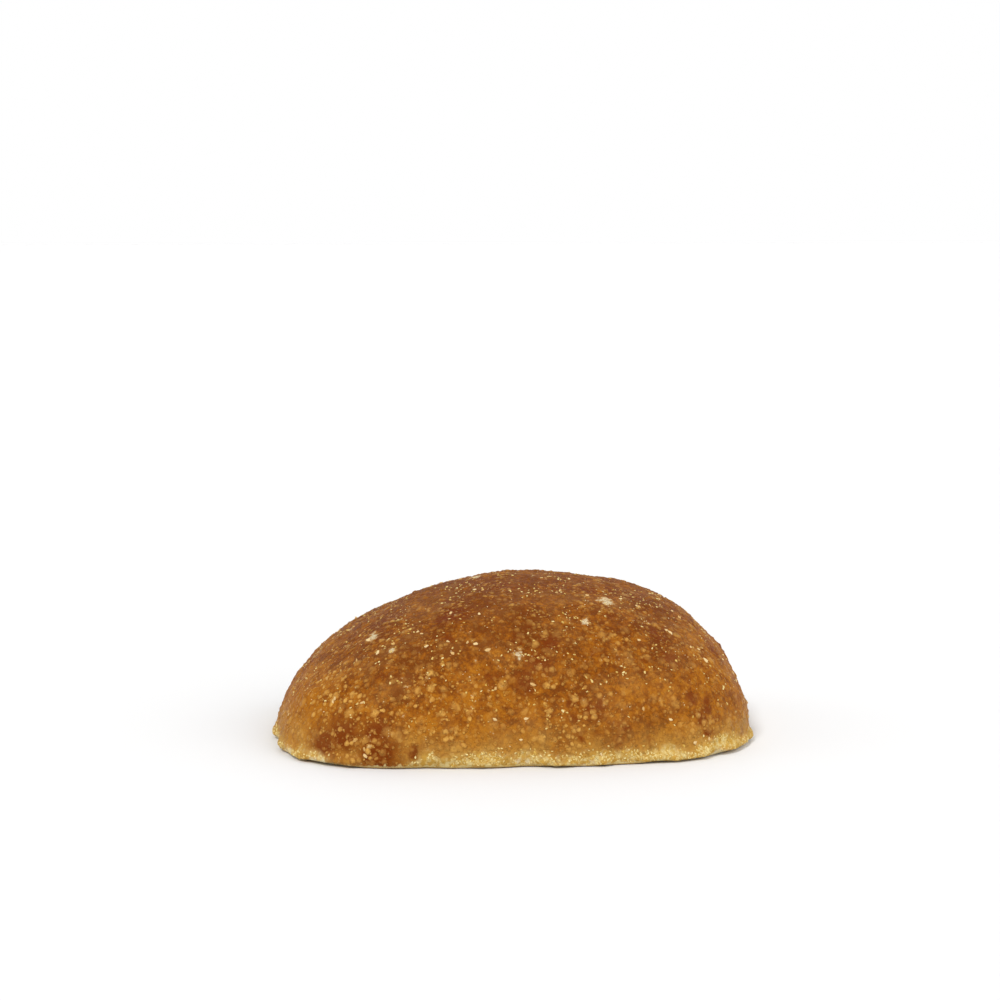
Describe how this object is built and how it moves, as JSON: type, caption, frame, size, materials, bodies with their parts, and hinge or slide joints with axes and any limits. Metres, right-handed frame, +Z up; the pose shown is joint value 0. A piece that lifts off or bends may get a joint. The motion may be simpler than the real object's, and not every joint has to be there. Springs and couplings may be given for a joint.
{
  "type": "ciabatta roll",
  "caption": "Flat-bottomed ciabatta bread roll with a squarish footprint, rounded corners and a low domed, blistered golden-brown crust dusted with cornmeal.",
  "frame": {"origin": "centre of the bounding box at the flat underside, where the roll rests", "axes": "+X along the roll, +Y across it and away from the side the picture shows, +Z up out of the domed top"},
  "size_m": [0.133, 0.098, 0.044],
  "materials": {
    "crust": null
  },
  "bodies": {
    "root": {"ciabatta_roll": "crust"}
  },
  "joints": []
}
